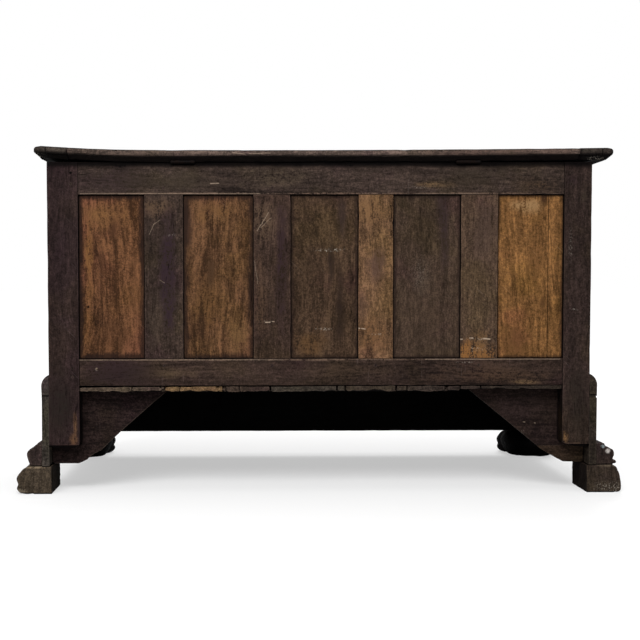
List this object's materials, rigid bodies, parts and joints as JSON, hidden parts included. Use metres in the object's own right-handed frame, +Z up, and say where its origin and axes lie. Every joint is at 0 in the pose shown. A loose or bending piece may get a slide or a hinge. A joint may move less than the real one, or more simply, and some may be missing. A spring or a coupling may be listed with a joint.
{
  "type": "cassone",
  "caption": "Old framed and panelled wooden chest with a hinged moulded lid, a lock, and a moulded plinth on carved paw feet.",
  "frame": {"origin": "on the floor, at the centre of the bounding box", "axes": "+Z up; the front faces -Y; +X to the right of someone who faces the front, along the chest"},
  "size_m": [1.616, 0.7038, 0.9214],
  "materials": {
    "frame_oak": "old dark wax, worn",
    "panel_oak": "dry, unpolished back of old panels",
    "lid_oak": "old dark wax, worn",
    "plinth_oak": "old dark stain, worn",
    "carved_oak": "carved, dusty, worn",
    "rough_boards": "rough sawn, unfinished",
    "iron": "rusty wrought iron"
  },
  "bodies": {
    "chest": {"back_bottom_rail": "frame_oak", "back_muntin_1": "frame_oak", "back_muntin_2": "frame_oak", "back_muntin_3": "frame_oak", "back_muntin_4": "frame_oak", "back_panel_1": "panel_oak", "back_panel_2": "panel_oak", "back_panel_3": "panel_oak", "back_panel_4": "panel_oak", "back_panel_5": "panel_oak", "back_post_left": "frame_oak", "back_post_right": "frame_oak", "back_top_rail": "frame_oak", "bottom_board_1": "rough_boards", "bottom_board_2": "rough_boards", "bottom_board_3": "rough_boards", "bottom_board_4": "rough_boards", "bottom_board_5": "rough_boards", "bottom_board_6": "rough_boards", "bottom_board_7": "rough_boards", "front_bottom_rail": "frame_oak", "front_foot_left": "carved_oak", "front_foot_right": "carved_oak", "front_muntin_1": "frame_oak", "front_muntin_2": "frame_oak", "front_panel_1": "panel_oak", "front_panel_2": "panel_oak", "front_panel_3": "panel_oak", "front_post_left": "frame_oak", "front_post_right": "frame_oak", "front_top_rail": "frame_oak", "hinge_leaves_rail": "iron", "hinge_pins": "iron", "left_bottom_rail": "frame_oak", "left_muntin": "frame_oak", "left_panel_1": "panel_oak", "left_panel_2": "panel_oak", "left_top_rail": "frame_oak", "lock_case": "iron", "lock_escutcheon": "iron", "plinth_front": "plinth_oak", "plinth_left": "plinth_oak", "plinth_right": "plinth_oak", "rear_bracket_left": "plinth_oak", "rear_bracket_right": "plinth_oak", "rear_bracket_strip_left": "plinth_oak", "rear_foot_left": "carved_oak", "rear_foot_right": "carved_oak", "right_bottom_rail": "frame_oak", "right_muntin": "frame_oak", "right_panel_1": "panel_oak", "right_panel_2": "panel_oak", "right_top_rail": "frame_oak"},
    "lid": {"lid_board_back": "lid_oak", "lid_board_front": "lid_oak", "lid_cleat_left": "lid_oak", "lid_cleat_right": "lid_oak", "hinge_leaves_lid": "iron", "lid_staple": "iron"},
    "bolt": {"lock_bolt": "iron"}
  },
  "joints": [
    {"name": "lid_hinge", "type": "hinge", "parent": "chest", "child": "lid", "pos_m": [0, 0.3394, 0.88], "axis": [-1, 0, 0], "range_deg": [0, 110]},
    {"name": "bolt_slide", "type": "slide", "parent": "chest", "child": "bolt", "axis": [1, 0, 0], "range_m": [0, 0.014]}
  ]
}
